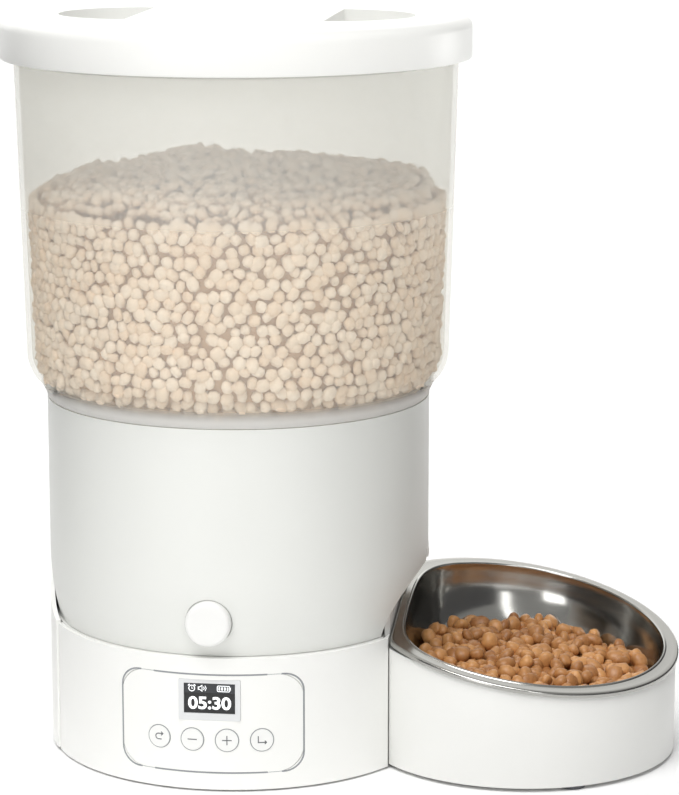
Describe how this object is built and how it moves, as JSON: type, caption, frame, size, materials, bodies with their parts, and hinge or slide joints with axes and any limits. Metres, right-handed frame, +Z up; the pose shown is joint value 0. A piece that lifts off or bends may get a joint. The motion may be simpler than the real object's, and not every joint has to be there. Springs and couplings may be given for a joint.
{
  "type": "automatic pet feeder",
  "caption": "Round gravity-fed pet food dispenser with a frosted tank, lift-off lid, front keypad and display, and a tilted steel bowl in a side stand.",
  "frame": {"origin": "on the floor, under the middle of the whole object's bounding box", "axes": "+Z up, -Y toward the control panel's front, +X from the tower toward the bowl"},
  "size_m": [0.3652, 0.25, 0.396],
  "materials": {
    "moulded_white": "satin",
    "moulded_shade": "satin",
    "gloss_white": "gloss",
    "frosted_tank": "frosted",
    "soft_rubber": "matte",
    "pouch": "matte",
    "rotor_plastic": "satin",
    "spring_steel": "satin",
    "brass": "satin",
    "dark_plastic": "matte",
    "motor_can": "satin",
    "gear_plastic": "satin",
    "bezel_grey": "gloss",
    "display_black": "gloss",
    "circuit_board": "gloss",
    "cell_wrap": "gloss",
    "bowl_steel": "satin to mirror"
  },
  "bodies": {
    "base": {"base_deck": "moulded_white", "front_cover": "moulded_white", "rear_shell": "moulded_white", "base_pan": "moulded_white", "outlet_hood": "moulded_white", "chute": "moulded_shade", "shaft_bushing": "brass", "gearbox_case": "dark_plastic", "gear_motor": "motor_can", "control_panel": "moulded_white", "display_bezel": "bezel_grey", "display_glass": "display_black", "display_module": "dark_plastic", "tact_switches": "dark_plastic", "control_board": "circuit_board", "speaker": "dark_plastic", "battery_box": "dark_plastic", "batteries": "cell_wrap", "battery_contacts": "spring_steel", "usb_socket": "spring_steel", "bowl_stand": "moulded_white", "rubber_feet": "soft_rubber", "case_screws": "spring_steel"},
    "hopper": {"hopper_tank": "frosted_tank", "hopper_housing": "moulded_shade", "funnel": "moulded_shade", "metering_chamber": "moulded_shade", "metering_cover": "moulded_shade", "knob_guide": "moulded_shade", "knob_spring": "spring_steel"},
    "lid": {"lid": "moulded_white", "lid_seal": "soft_rubber", "desiccant_holder": "moulded_white", "desiccant_pack": "pouch"},
    "desiccant_cover": {"desiccant_cover": "moulded_shade"},
    "rotor": {"feed_rotor": "rotor_plastic", "stirrer": "soft_rubber"},
    "release_knob": {"release_knob": "gloss_white", "knob_clip": "spring_steel"},
    "drive": {"drive_shaft": "spring_steel", "drive_gear": "gear_plastic", "drive_dog": "gear_plastic"},
    "motor_pinion": {"motor_pinion": "brass", "motor_shaft": "spring_steel"},
    "key_back": {"key_back": "gloss_white"},
    "key_minus": {"key_minus": "gloss_white"},
    "key_plus": {"key_plus": "gloss_white"},
    "key_enter": {"key_enter": "gloss_white"},
    "battery_door": {"battery_door": "moulded_white"},
    "bowl": {"bowl": "bowl_steel"}
  },
  "joints": [
    {"name": "hopper_lift", "type": "slide", "parent": "base", "child": "hopper", "axis": [0, 0, 1], "range_m": [0, 0.12]},
    {"name": "lid_lift", "type": "slide", "parent": "hopper", "child": "lid", "axis": [0, 0, 1], "range_m": [0, 0.12]},
    {"name": "desiccant_cover_off", "type": "slide", "parent": "lid", "child": "desiccant_cover", "axis": [0, 0, -1], "range_m": [0, 0.03]},
    {"name": "rotor_spin", "type": "hinge", "parent": "hopper", "child": "rotor", "pos_m": [-0.0576, 0, 0.13], "axis": [0, 0, 1], "continuous": true},
    {"name": "drive_spin", "type": "hinge", "parent": "base", "child": "drive", "pos_m": [-0.0576, 0, 0.09], "axis": [0, 0, 1], "continuous": true},
    {"name": "pinion_spin", "type": "hinge", "parent": "base", "child": "motor_pinion", "pos_m": [-0.0876, 0, 0.06], "axis": [0, 0, 1], "continuous": true},
    {"name": "knob_press", "type": "slide", "parent": "hopper", "child": "release_knob", "axis": [0, 1, 0], "range_m": [0, 0.003], "stiffness_N_per_m": 900, "springref_m": -0.002, "deforming": ["knob_spring"]},
    {"name": "key_back_press", "type": "slide", "parent": "base", "child": "key_back", "axis": [0.2639, 0.9646, 0], "range_m": [0, 0.0008], "stiffness_N_per_m": 1200, "springref_m": -0.0005},
    {"name": "key_minus_press", "type": "slide", "parent": "base", "child": "key_minus", "axis": [0.0889, 0.996, 0], "range_m": [0, 0.0008], "stiffness_N_per_m": 1200, "springref_m": -0.0005},
    {"name": "key_plus_press", "type": "slide", "parent": "base", "child": "key_plus", "axis": [-0.0889, 0.996, 0], "range_m": [0, 0.0008], "stiffness_N_per_m": 1200, "springref_m": -0.0005},
    {"name": "key_enter_press", "type": "slide", "parent": "base", "child": "key_enter", "axis": [-0.2639, 0.9646, 0], "range_m": [0, 0.0008], "stiffness_N_per_m": 1200, "springref_m": -0.0005},
    {"name": "battery_door_off", "type": "slide", "parent": "base", "child": "battery_door", "axis": [0, 0, -1], "range_m": [0, 0.03]},
    {"name": "bowl_lift", "type": "slide", "parent": "base", "child": "bowl", "axis": [0.5401, -0.1447, 0.829], "range_m": [0, 0.09]}
  ],
  "couplings": [
    {"joint": "drive_spin", "follows": "rotor_spin", "ratio": 1},
    {"joint": "pinion_spin", "follows": "rotor_spin", "ratio": -2.75}
  ]
}
